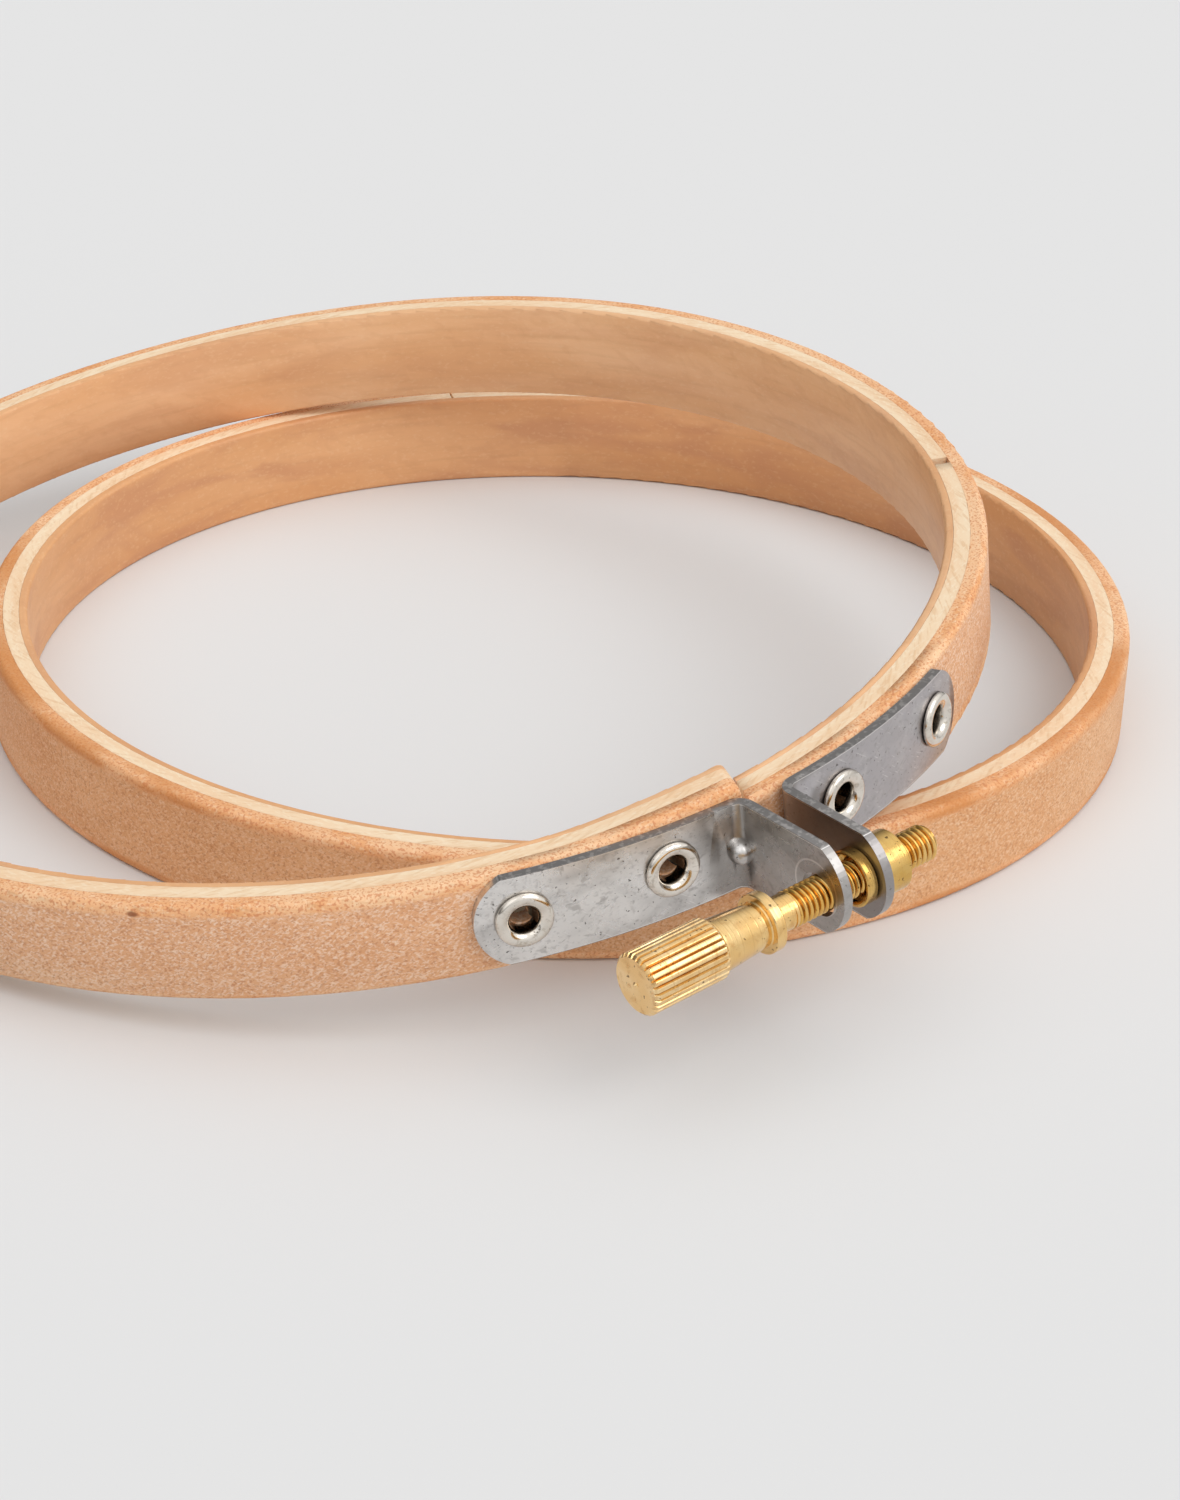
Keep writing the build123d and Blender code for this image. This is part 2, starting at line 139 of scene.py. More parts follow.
def speckled_ply(name, place, seam, tones, knots, scorched):
    """Birch veneer, sanded. Its face is a felt of short pale fibres over darker pores, under 0.3 mm long, and
    its rounded corner is more orange, with dense red-brown dots. Knots are small dark eyes, and sanding has
    scorched parts of the corner amber. The corner is lower where the piece's corner_drop says so."""
    material, tree, shader = finish_named(name)
    where = strip_space(tree, place, seam)
    part = add(tree, "ShaderNodeSeparateXYZ", {0: where}).outputs
    ground, light, warm, fibre, pore = tones
    face, felt = laid(
        tree,
        where,
        linear(ground),
        [
            ((0.05, 0.1, 0.2), (0, 0, 0), 3.0, 0.0, 0.3, 0.7, 0.8, light),
            ((0.16, 0.2, 0.5), (0, 0, 0), 3.0, 0.5, 0.45, 0.75, 0.45, warm),
            ((3.0, 3.0, 7.0), (0, 30, 0), 1.0, 0.3, 0.5, 0.66, 0.5, fibre),
            ((3.2, 3.0, 7.5), (0, -26, 0), 1.0, 0.3, 0.52, 0.68, 0.42, fibre),
            ((4.2, 4.2, 5.2), (0, 8, 0), 2.0, 0.4, 0.53, 0.66, 0.6, pore),
        ],
    )
    corner, _ = laid(
        tree,
        where,
        linear("#edb381"),
        [
            ((0.1, 0.3, 0.3), (0, 0, 0), 3.0, 0.0, 0.35, 0.65, 0.75, "#f5cda3"),
            ((0.22, 0.5, 0.5), (0, 0, 0), 2.0, 0.6, 0.47, 0.68, 0.6, "#e29c60"),
            ((2.4, 3.6, 3.6), (0, 0, 0), 2.0, 0.3, 0.5, 0.68, 0.5, "#f6d6b0"),
            ((4.6, 5.0, 5.0), (0, 0, 0), 1.0, 0.1, 0.52, 0.62, 0.62, "#cb7a4c"),
        ],
    )
    drop = add(tree, "ShaderNodeAttribute", attribute_name="corner_drop").outputs["Fac"]
    level = add(tree, "ShaderNodeMath", {0: part["Z"], 1: drop}, operation="SUBTRACT").outputs[0]
    middle = add(tree, "ShaderNodeMath", {0: level, 1: half_depth}, operation="SUBTRACT").outputs[0]
    off = add(tree, "ShaderNodeMath", {0: middle}, operation="ABSOLUTE").outputs[0]
    edge = add(
        tree,
        "ShaderNodeMapRange",
        {"Value": off, "From Min": corner_starts, "From Max": corner_full},
        interpolation_type="SMOOTHSTEP",
    ).outputs[0]
    colour = add(tree, "ShaderNodeMix", {0: edge, 6: face, 7: corner}, data_type="RGBA").outputs[2]

    amber_grain = ((0.1, 0.3, 0.5), (0, 0, 0), 2.0, 0.0, 0.3, 0.6, 0.9, "#cd8547")
    for turn, half_length in scorched:
        centre = math.radians((turn - seam) % 360 - 180) * pattern_radius
        shifted = add(tree, "ShaderNodeMath", {0: part["X"], 1: centre}, operation="SUBTRACT")
        distance = add(tree, "ShaderNodeMath", {0: shifted.outputs[0]}, operation="ABSOLUTE").outputs[0]
        near = add(
            tree,
            "ShaderNodeMapRange",
            {"Value": distance, "From Min": half_length, "From Max": half_length * 0.4, "To Max": 0.85},
            interpolation_type="SMOOTHSTEP",
        ).outputs[0]
        amber = add(tree, "ShaderNodeMath", {0: near, 1: edge}, operation="MULTIPLY").outputs[0]
        toned, _ = laid(tree, where, colour, [amber_grain])
        colour = add(tree, "ShaderNodeMix", {0: amber, 6: colour, 7: toned}, data_type="RGBA").outputs[2]
    for turn, height, length, depth in knots:
        centre = math.radians((turn - seam) % 360 - 180) * pattern_radius
        knot_place = (centre, 0, height)
        eye = add(tree, "ShaderNodeVectorMath", {0: where, 1: knot_place}, operation="SUBTRACT").outputs[0]
        narrow = (1 / length, 0, 1 / depth)
        squeezed = add(tree, "ShaderNodeVectorMath", {0: eye, 1: narrow}, operation="MULTIPLY").outputs[0]
        far = add(tree, "ShaderNodeVectorMath", {0: squeezed}, operation="LENGTH").outputs["Value"]
        spot = add(
            tree,
            "ShaderNodeMapRange",
            {"Value": far, "From Min": 1.0, "From Max": 0.45, "To Max": 0.85},
            interpolation_type="SMOOTHSTEP",
        ).outputs[0]
        eyed = add(tree, "ShaderNodeMix", {0: spot, 6: colour, 7: linear("#8a4f2e")}, data_type="RGBA")
        colour = eyed.outputs[2]
    tree.links.new(colour, shader.inputs["Base Color"])
    relief = add(tree, "ShaderNodeMath", {0: felt[2], 1: felt[4]}, operation="SUBTRACT").outputs[0]
    bump = add(tree, "ShaderNodeBump", {"Height": relief, "Distance": 0.02 * mm})
    tree.links.new(bump.outputs[0], shader.inputs["Normal"])
    shader.inputs["Roughness"].default_value = 0.6
    shader.inputs["IOR"].default_value = 1.5
    shader.inputs["Specular IOR Level"].default_value = 0.35
    return material


def tan_ply(name, place, seam, ground, light, clouds):
    """Birch veneer, sanded smooth and waxed to a satin. Long even streaks run round the bore, with a soft
    mottle and pinkish-brown clouds."""
    material, tree, shader = finish_named(name)
    where = strip_space(tree, place, seam)
    colour, layers = laid(
        tree,
        where,
        linear(ground),
        [
            ((0.03, 0.1, 0.15), (0, 0, 0), 3.0, 0.0, 0.3, 0.7, 0.8, light),
            ((0.05, 0.1, 0.26), (0, 0, 0), 4.0, 0.6, 0.46, 0.68, clouds, "#c28560"),
            ((0.5, 0.5, 1.1), (0, 20, 0), 4.0, 0.6, 0.45, 0.75, 0.22, "#cb8f63"),
            ((0.12, 2.5, 1.8), (0, 0, 0), 3.0, 0.0, 0.48, 0.78, 0.2, "#bd8355"),
            ((2.0, 3.0, 4.0), (0, 0, 0), 2.0, 0.0, 0.54, 0.72, 0.2, "#efcba0"),
        ],
    )
    tree.links.new(colour, shader.inputs["Base Color"])
    bump = add(tree, "ShaderNodeBump", {"Height": layers[3], "Distance": 0.02 * mm})
    tree.links.new(bump.outputs[0], shader.inputs["Normal"])
    shader.inputs["Roughness"].default_value = 0.5
    shader.inputs["IOR"].default_value = 1.5
    return material


def pale_ply(name, place, seam):
    """Pale birch sapwood, seen on its sawn edge: cream, with fine straight fibres and a few tan dashes."""
    material, tree, shader = finish_named(name)
    where = strip_space(tree, place, seam)
    colour, layers = laid(
        tree,
        where,
        linear("#eecba4"),
        [
            ((0.06, 0.8, 0.8), (0, 0, 0), 3.0, 0.0, 0.3, 0.7, 0.85, "#f4dfbf"),
            ((0.5, 3.5, 3.5), (0, 0, 22), 3.0, 0.2, 0.48, 0.7, 0.55, "#deb384"),
            ((1.6, 4.5, 4.5), (0, 0, -15), 2.0, 0.2, 0.5, 0.7, 0.35, "#faecd4"),
        ],
    )
    tree.links.new(colour, shader.inputs["Base Color"])
    bump = add(tree, "ShaderNodeBump", {"Height": layers[1], "Distance": 0.02 * mm})
    tree.links.new(bump.outputs[0], shader.inputs["Normal"])
    shader.inputs["Roughness"].default_value = 0.65
    shader.inputs["IOR"].default_value = 1.5
    return material


def merged_copy(node_name, piece_name, finish):
    """A CAD node's mesh with its triangles joined up, as a piece of its own that stands for the node."""
    bm = bmesh.new()
    bm.from_mesh(frame["nodes"][node_name].data)
    bmesh.ops.remove_doubles(bm, verts=bm.verts, dist=0.0005 * mm)
    mesh = bpy.data.meshes.new(piece_name)
    bm.to_mesh(mesh)
    bm.free()
    mesh.materials.clear()
    mesh.materials.append(finish)
    piece = bpy.data.objects.new(piece_name, mesh)
    bpy.context.scene.collection.objects.link(piece)
    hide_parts(node_name)
    return piece


def smooth_faces(piece, degrees):
    """Smooth shading, kept sharp where faces meet at more than this angle."""
    for face in piece.data.polygons:
        face.use_smooth = True
    piece.data.set_sharp_from_angle(angle=math.radians(degrees))


inner_place = Matrix.Identity(4)
inner_seam = 103.15
lining_seam = inner_seam - 180  # at the front, where the wall hides it from the photograph's side
# The inner hoop's tan and speckled veneers take darker, more orange tones than the outer hoop's, as painted
# shade
inner_strips = {
    "inner_ply": (
        tan_ply("Smooth tan birch veneer, inner hoop", inner_place, lining_seam, "#da9e69", "#e6b180", 0.5),
        "tan_ply",
    ),
    "core_ply": (pale_ply("Pale birch core, inner hoop", inner_place, inner_seam), "pale_ply"),
    "outer_ply": (
        speckled_ply(
            "Speckled birch veneer, inner hoop",
            inner_place,
            inner_seam,
            ("#d89c6a", "#e6b486", "#cc905d", "#eecba7", "#bd7d4c"),
            [],
            [(-155, 50), (-50, 9), (-32, 12), (-18, 9), (20, 12)],
        ),
        "speckled_ply",
    ),
}
for ply, (finish, slot) in inner_strips.items():
    strip = merged_copy(f"inner_hoop_{ply}", f"inner_{ply}_strip", finish)
    smooth_faces(strip, 40)
    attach(strip, "inner_hoop")

# The outer hoop's strips: the same veneers, sawn through at a slant between the ears. The cut has let the
# hoop spring, so that the left end stands higher than the right one and the back bows up, and its strips
# vary in depth. It has a small knot at its front.
joints = {joint["name"]: joint for joint in frame["joints"]}
outer_seam = -53.4
split_turn = math.radians(outer_seam)
split_radius = 52.7  # the middle of this hoop's wall, in mm
cut_lean = math.radians(-19)
underside_centre = Vector((-17.0444, -9.1391, 7.2464)) * mm
outer_up = Vector(joints["hoop_flex"]["axis"]).normalized()
outer_side = (Vector((1, 0, 0)) - outer_up * outer_up.x).normalized()
outer_over = outer_up.cross(outer_side)
outer_place = Matrix.Translation(underside_centre) @ Matrix(
    (outer_side, outer_over, outer_up)
).transposed().to_4x4()
to_hoop = outer_place.inverted()
far_point = Vector(joints["hoop_flex"]["pos_m"])
split_point = outer_place @ (Vector((math.cos(split_turn), math.sin(split_turn), 0)) * split_radius * mm)
across_split = outer_up.cross((split_point - far_point).normalized())
across_split -= outer_up * across_split.dot(outer_up)
across_split.normalize()
pale_outer = pale_ply("Pale birch core, outer hoop", outer_place, outer_seam)
outer_strips = {
    "inner_ply": (
        tan_ply("Smooth tan birch veneer, outer hoop", outer_place, outer_seam, "#e1a976", "#f1c397", 0.3),
        "tan_ply",
    ),
    "short_core_ply": (pale_outer, "pale_ply"),
    "long_core_ply": (pale_outer, "pale_ply"),
    "outer_ply": (
        speckled_ply(
            "Speckled birch veneer, outer hoop",
            outer_place,
            outer_seam,
            ("#dda57a", "#e6b78f", "#cf9467", "#f4dac2", "#bd7d52"),
            [(-103.9, 7.92, 0.55, 0.3)],
            [],
        ),
        "speckled_ply",
    ),
}
saw_face = Matrix.Rotation(cut_lean, 4, "Z") @ Vector((0, 1, 0))
saw_face = outer_place.to_3x3() @ (Matrix.Rotation(split_turn, 3, "Z") @ saw_face)

solid_end = 0.575  # the solid's left end, from the middle of the cut, in mm
left_end = 0.275  # the same for the end that shows
end_round, end_drop = 1.0, 0.8  # its top is rounded over the one, in mm, and drops by the other's share of it
end_region = 11  # round the middle of the cut, in mm, so that the hoop's far side is left alone
round_above = 7.5  # mm up the wall: below this the end stays square
spring = 0.9  # mm that the left end stands above the right one, shared out evenly all round
bow_wall, bow_edge = 0.2, 0.4  # mm at the back: the whole wall, and the top edge past that
bow_starts, bow_rises_over = 77, 45  # degrees round from the cut, as the next ones are
bow_ends, bow_falls_over = 178, 50
edge_starts, edge_rises_over = 6.9, 1.2  # mm up the wall, and how much further to the full change
right_end_turn, corner_share = 30, 0.3  # the corner's colour drops in full up to the one, then by the other
# How much higher or lower the top edge is, in mm, at a turn in degrees from the right end to the left one
top_by_turn = (
    (0, -0.66),
    (30, 0),
    (240, 0),
    (265, -0.13),
    (290, -0.38),
    (312, -0.5),
    (332, -0.52),
    (344, -0.42),
    (351, 0),
    (360, 0.33),
)


def eased(share):
    """From 0 to 1, gently at both ends."""
    share = min(1, max(0, share))
    return share * share * (3 - 2 * share)


def top_shift(degrees):
    """How far the strips' top edge stands above its even level, in mm, at an angle round from the cut."""
    for (low, first), (high, second) in zip(top_by_turn, top_by_turn[1:]):
        if low <= degrees <= high:
            return first + (second - first) * (degrees - low) / (high - low)
    return 0


for ply, (finish, slot) in outer_strips.items():
    strip = merged_copy(f"outer_hoop_{ply}", f"outer_{ply}_strip", finish)
    # The left end reaches a little further than the solid's, and sanding has rounded its top over the last
    # millimetre before the saw cut
    bm = bmesh.new()
    bm.from_mesh(strip.data)
    for vertex in bm.verts:
        short = (vertex.co - split_point).dot(-saw_face) / mm - solid_end
        if (vertex.co - split_point).length < end_region * mm and abs(short) < 0.02:
            vertex.co += saw_face * (solid_end - left_end) * mm
    for share in (0.04, 0.15, 0.35, 0.65, 1):
        end = [f for f in bm.faces if min((v.co - split_point).length for v in f.verts) < end_region * mm]
        near = {v for f in end for v in f.verts} | {e for f in end for e in f.edges}
        bmesh.ops.bisect_plane(
            bm,
            geom=list(near) + end,
            dist=0.0001 * mm,
            plane_co=split_point - saw_face * (left_end + share * end_round) * mm,
            plane_no=saw_face,
        )
    for vertex in bm.verts:
        short = (vertex.co - split_point).dot(-saw_face) / mm - left_end
        high = (to_hoop @ vertex.co).z / mm
        in_reach = (vertex.co - split_point).length < end_region * mm
        if in_reach and -0.01 < short < end_round and high > round_above:
            drop = end_round - math.sqrt(end_round**2 - (end_round - max(short, 0)) ** 2)
            vertex.co -= outer_up * drop * end_drop * mm
    bm.to_mesh(strip.data)
    bm.free()
    # The corner's colour follows the top edge down at the right end, and in part elsewhere
    corner_drop = strip.data.attributes.new("corner_drop", "FLOAT", "POINT").data
    for vertex in strip.data.vertices:
        at = to_hoop @ vertex.co
        radius = math.hypot(at.x, at.y)
        slant = math.tan(cut_lean) * (1 - split_radius * mm / radius)
        turn = math.degrees(math.atan2(at.y, at.x) - split_turn - slant) % 360
        bow = eased((turn - bow_starts) / bow_rises_over) * eased((bow_ends - turn) / bow_falls_over)
        vertex.co.z += (spring * (turn / 360 - 0.5) + bow_wall * bow) * mm
        near_top = eased((at.z / mm - edge_starts) / edge_rises_over)
        vertex.co += outer_up * near_top * (top_shift(turn) + bow_edge * bow) * mm
        colour_share = 1 if turn < right_end_turn else corner_share
        corner_drop[vertex.index].value = near_top * top_shift(turn) * colour_share
    smooth_faces(strip, 40)
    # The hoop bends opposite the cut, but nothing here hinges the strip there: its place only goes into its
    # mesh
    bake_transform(strip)

# Brackets, stamped from cold-rolled steel strip and bent. The rolled skin is a soft cloudy grey with fine
# scratches and pits. Near the bend the strap has a painted dark reflection of the ear, and the screw's collar
# has rubbed a ring on the ear. The ears are painted darker than the strap, and the right bracket darker than
# the left one, as painted shade, and a painted highlight runs along the rims of the face.
hardware_turn = math.radians(-52.43)
out_through_clamp = (outer_side * math.cos(hardware_turn) + outer_over * math.sin(hardware_turn)).normalized()
round_past_clamp = outer_up.cross(out_through_clamp)
clamp_place = Matrix.Translation(outer_place.to_translation()) @ Matrix(
    (out_through_clamp, round_past_clamp, outer_up)
).transposed().to_4x4()


def local_space(tree, place):
    """Where a point is in a frame of its own, in mm."""
    here = add(tree, "ShaderNodeTexCoord").outputs["Object"]
    local = add(
        tree,
        "ShaderNodeMapping",
        {"Vector": here, "Location": place.to_translation(), "Rotation": place.to_euler()},
        vector_type="TEXTURE",
    ).outputs[0]
    return add(tree, "ShaderNodeVectorMath", {0: local, "Scale": 1000.0}, operation="SCALE").outputs[0]


# The painted dark reflection of the ear on the strap starts at the one distance and is full at the other
reflection_from, reflection_full = 7.4, 4.8  # from the middle of the split, in mm
all_ear, all_strap = 57.4, 56.0  # out from the hoop's axis, in mm: past the one, and within the other
rub_centre = (63.6, 0, 4.9)
rub_radius, rub_half_width = 2.25, 0.08
left_ear_face = -2.6  # just inside the left ear's outer face, the one that the collar has rubbed
# A thin painted highlight runs along each rim of the strip's face, at this height and half width
highlight_at, highlight_half_width = 3.61, 0.02  # from the strip's middle height, in mm, as the next ones are
shear_from, shear_full = 3.64, 3.68


def steel(name, ground, clouds, height):
    """Cold-rolled steel. Its rolled skin has soft clouds, fine scratches and pits. A thin painted highlight
    runs along the rims of its face, and the sheared edges past them are darker and rougher."""
    material, tree, shader = finish_named(name)
    where = local_space(tree, clamp_place)
    colour, skin = laid(
        tree,
        where,
        linear(ground),
        [
            ((0.16, 0.16, 0.3), (0, 0, 0), 3.0, 0.5, 0.35, 0.7, clouds, "#a3a09e"),
            ((0.5, 0.5, 0.7), (0, 0, 0), 4.0, 0.5, 0.45, 0.75, clouds, "#e2dfdc"),
            ((2.4, 2.4, 3.0), (0, 0, 0), 3.0, 0.3, 0.5, 0.75, 0.34, "#8f8b89"),
            ((1.0, 0.8, 1.2), (0, 0, 0), 5.0, 0.6, 0.6, 0.7, 0.7 * clouds, "#85807c"),
            ((3.0, 0.3, 9.0), (40, 0, 0), 2.0, 0.0, 0.66, 0.72, 0.45, "#f2f0ee"),
            ((3.0, 0.3, 9.0), (-25, 0, 0), 2.0, 0.0, 0.68, 0.74, 0.45, "#7a7571"),
            ((3.8, 3.8, 3.8), (0, 0, 0), 1.0, 0.4, 0.7, 0.75, 0.8, "#504c48"),
        ],
    )
    part = add(tree, "ShaderNodeSeparateXYZ", {0: where}).outputs
    past = add(tree, "ShaderNodeMath", {0: part["Y"]}, operation="ABSOLUTE").outputs[0]
    near_bend = add(
        tree,
        "ShaderNodeMapRange",
        {"Value": past, "From Min": reflection_from, "From Max": reflection_full},
        interpolation_type="SMOOTHSTEP",
    ).outputs[0]
    on_strap = add(
        tree,
        "ShaderNodeMapRange",
        {"Value": part["X"], "From Min": all_ear, "From Max": all_strap},
        interpolation_type="SMOOTHSTEP",
    ).outputs[0]
    # Painted shade: the ears are painted darker than the strap
    on_ear = add(tree, "ShaderNodeMath", {0: 1.0, 1: on_strap}, operation="SUBTRACT").outputs[0]
    ear_shade = add(tree, "ShaderNodeMath", {0: on_ear, 1: 0.6}, operation="MULTIPLY").outputs[0]
    shaded_ears = add(tree, "ShaderNodeMix", {0: ear_shade, 6: colour, 7: linear("#8e8985")}, data_type="RGBA")
    # Painted reflection: near the bend the strap is painted darker, for the ear reflected in it
    drawn = add(tree, "ShaderNodeMath", {0: near_bend, 1: on_strap}, operation="MULTIPLY").outputs[0]
    reflection_noise = ((0.3, 0.3, 0.26), (0, 0, 0), 1.0, 0.5, 0.4, 0.56, 0.8, "#86817d")
    reflected_strap, _ = laid(tree, where, shaded_ears.outputs[2], [reflection_noise])
    reflection_mix = {0: drawn, 6: shaded_ears.outputs[2], 7: reflected_strap}
    colour = add(tree, "ShaderNodeMix", reflection_mix, data_type="RGBA").outputs[2]

    off = add(tree, "ShaderNodeVectorMath", {0: where, 1: rub_centre}, operation="SUBTRACT").outputs[0]
    on_face = add(tree, "ShaderNodeVectorMath", {0: off, 1: (1, 0, 1)}, operation="MULTIPLY").outputs[0]
    distance = add(tree, "ShaderNodeVectorMath", {0: on_face}, operation="LENGTH").outputs["Value"]
    ring = {0: distance, 1: rub_radius, 2: rub_half_width}
    rub = add(tree, "ShaderNodeMath", ring, operation="COMPARE").outputs[0]
    outside = add(tree, "ShaderNodeMath", {0: part["Y"], 1: left_ear_face}, operation="LESS_THAN").outputs[0]
    worn = add(tree, "ShaderNodeMath", {0: rub, 1: outside}, operation="MULTIPLY").outputs[0]
    faint = add(tree, "ShaderNodeMath", {0: worn, 1: 0.6}, operation="MULTIPLY").outputs[0]
    rubbed = add(tree, "ShaderNodeMix", {0: faint, 6: colour, 7: linear("#dedad6")}, data_type="RGBA")

    # Painted highlight: a thin bright line along each rim of the face
    from_middle = add(tree, "ShaderNodeMath", {0: part["Z"], 1: height}, operation="SUBTRACT").outputs[0]
    edge_way = add(tree, "ShaderNodeMath", {0: from_middle}, operation="ABSOLUTE").outputs[0]
    rim = {0: edge_way, 1: highlight_at, 2: highlight_half_width}
    painted_edge_highlight = add(tree, "ShaderNodeMath", rim, operation="COMPARE").outputs[0]
    highlight_mix = {0: painted_edge_highlight, 6: rubbed.outputs[2], 7: linear("#ece9e6")}
    colour = add(tree, "ShaderNodeMix", highlight_mix, data_type="RGBA").outputs[2]
    past_rim = {"Value": edge_way, "From Min": shear_from, "From Max": shear_full}
    sheared = add(tree, "ShaderNodeMapRange", past_rim).outputs[0]
    torn, _ = laid(
        tree,
        where,
        linear("#8d8a88"),
        [((2.2, 2.2, 2.2), (0, 0, 0), 3.0, 0.3, 0.5, 0.62, 0.7, "#b9b5b2")],
    )
    colour = add(tree, "ShaderNodeMix", {0: sheared, 6: colour, 7: torn}, data_type="RGBA").outputs[2]
    tree.links.new(colour, shader.inputs["Base Color"])
    rolled = add(tree, "ShaderNodeMapRange", {"Value": skin[1], "To Min": 0.3, "To Max": 0.2}).outputs[0]
    rough = add(tree, "ShaderNodeMix", {"Factor": sheared, "A": rolled, "B": 0.42}).outputs[0]
    tree.links.new(rough, shader.inputs["Roughness"])
    shader.inputs["Metallic"].default_value = 1.0
    relief = add(tree, "ShaderNodeMath", {0: skin[2], 1: skin[6]}, operation="SUBTRACT").outputs[0]
    bump = add(tree, "ShaderNodeBump", {"Height": relief, "Distance": 0.012 * mm})
    tree.links.new(bump.outputs[0], shader.inputs["Normal"])
    return material


# The right bracket's steel is painted darker than the left one's, as painted shade
for side, body, finish in (
    ("left", "outer_hoop", steel("Cold-rolled steel strip, left", "#e4e1de", 0.6, 4.975)),
    ("right", "right_clamp", steel("Cold-rolled steel strip, right", "#b6b2b4", 0.2, 4.275)),
):
    bracket = merged_copy(f"{side}_bracket", f"{side}_bracket_plate", finish)
    edges = bracket.modifiers.new("Sheared edge", "BEVEL")
    edges.width = 0.1 * mm
    edges.segments = 2
    edges.limit_method = "ANGLE"
    edges.angle_limit = math.radians(50)
    smooth_faces(bracket, 35)
    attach(bracket, body)

# Eyelets, drawn from nickel-plated brass: a fat rolled ring outside, a tube through strap and wood, and a
# clinch spread into the wood of the bore. The plating is bright, with fine draw marks and a few dull specks.
# Down the tube it is painted dark, as painted shade.
# Painted shade inside the tubes: where it starts and is full, and where it ends in the wood
shade_from, shade_full, shade_ends = 55.62, 55.2, 51.5  # down the tube, out from the hoop's axis, in mm
nickel, tree, shader = finish_named("Nickel-plated brass, drawn")
where = strip_space(tree, outer_place, outer_seam)
colour, plating = laid(
    tree,
    where,
    linear("#e4ddd3"),
    [
        ((0.8, 0.8, 0.8), (0, 0, 0), 3.0, 0.0, 0.4, 0.7, 0.7, "#d2cabf"),
        ((2.0, 2.0, 2.0), (0, 0, 0), 3.0, 0.8, 0.52, 0.72, 0.5, "#a39684"),
        ((3.6, 3.6, 3.6), (0, 0, 0), 1.0, 0.0, 0.7, 0.75, 0.6, "#5d5145"),
    ],
)
part = add(tree, "ShaderNodeSeparateXYZ", {0: where}).outputs
# Painted shade: the tube is painted darker down from the strap's face
shade_down_tube = add(
    tree,
    "ShaderNodeMapRange",
    {"Value": part["Y"], "From Min": shade_from, "From Max": shade_full, "To Max": 0.82},
    interpolation_type="SMOOTHSTEP",
).outputs[0]
in_wood = add(tree, "ShaderNodeMath", {0: part["Y"], 1: shade_ends}, operation="GREATER_THAN").outputs[0]
painted_tube_shade = add(tree, "ShaderNodeMath", {0: shade_down_tube, 1: in_wood}, operation="MULTIPLY").outputs[0]
shaded_tube = add(tree, "ShaderNodeMix", {0: painted_tube_shade, 6: colour, 7: linear("#4a443d")}, data_type="RGBA")
tree.links.new(shaded_tube.outputs[2], shader.inputs["Base Color"])
rough = add(tree, "ShaderNodeMapRange", {"Value": plating[1], "To Min": 0.13, "To Max": 0.3}).outputs[0]
tree.links.new(rough, shader.inputs["Roughness"])
shader.inputs["Metallic"].default_value = 1.0


def lathed(profile, steps=96):
    """A closed section, as radius and station along the axis, spun all round."""
    bm = bmesh.new()
    points = [bm.verts.new((radius, 0, station)) for radius, station in profile]
    edges = [bm.edges.new(pair) for pair in zip(points, points[1:])]
    bmesh.ops.spin(
        bm,
        geom=points + edges,
        cent=(0, 0, 0),
        axis=(0, 0, 1),
        angle=2 * math.pi,
        steps=steps,
        use_merge=True,
    )
    bmesh.ops.remove_doubles(bm, verts=bm.verts, dist=0.0005)
    bmesh.ops.recalc_face_normals(bm, faces=bm.faces)
    return bm


def placed(bm, name, place, material):
    """A bmesh drawn in mm in its own frame, as an object with its place in its mesh."""
    bmesh.ops.transform(bm, matrix=place @ Matrix.Scale(mm, 4), verts=bm.verts)
    mesh = bpy.data.meshes.new(name)
    bm.to_mesh(mesh)
    bm.free()
    mesh.materials.append(material)
    piece = bpy.data.objects.new(name, mesh)
    bpy.context.scene.collection.objects.link(piece)
    return piece


strap_face = 55.32
eyelet_section = (
    (1.15, 0.02),
    (2.13, 0.02),
    (2.21, 0.07),
    (2.24, 0.18),
    (2.22, 0.31),
    (2.14, 0.43),
    (2.01, 0.52),
    (1.84, 0.56),
    (1.64, 0.54),
    (1.44, 0.47),
    (1.29, 0.36),
    (1.18, 0.2),
    (1.09, -0.05),
    (1.01, -0.45),
    (0.95, -0.9),
    (0.93, -1.3),
    (0.93, -3.98),
    (1.05, -4.14),
    (1.45, -4.34),
    (1.55, -4.36),
    (1.6, -4.3),
    (1.58, -4.2),
    (1.35, -4.02),
    (1.15, -3.96),
    (1.15, 0.02),
)
for side, position, body, way, place, height in (
    ("left", "near", "outer_hoop", -1, 8.9, 5.375),
    ("left", "far", "outer_hoop", -1, 20.75, 4.975),
    ("right", "near", "right_clamp", 1, 7.6, 4.275),
    ("right", "far", "right_clamp", 1, 20.75, 4.275),
):
    turn = hardware_turn + way * place / strap_face
    eyelet_place = (
        outer_place
        @ Matrix.Rotation(turn, 4, "Z")
        @ Matrix.Translation(Vector((strap_face, 0, height)) * mm)
        @ Matrix.Rotation(math.radians(90), 4, "Y")
    )
    name = f"{side}_{position}_eyelet"
    eyelet = placed(lathed(eyelet_section), f"{name}_ring", eyelet_place, nickel)
    smooth_faces(eyelet, 50)
    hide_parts(name)
    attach(eyelet, body)

# Thumb screw, turned from brass bar: straight-knurled head, tapering neck, collar and an M3 thread. Fine
# turning marks run round it, and tiny pits and darker tarnish show the wear of fingers.
screw_joint = joints["screw_turn"]
screw_along = Vector(screw_joint["axis"]).normalized()
screw_out = (out_through_clamp - screw_along * out_through_clamp.dot(screw_along)).normalized()
screw_place = Matrix.Translation(Vector(screw_joint["pos_m"])) @ Matrix(
    (screw_out, screw_along.cross(screw_out), screw_along)
).transposed().to_4x4()


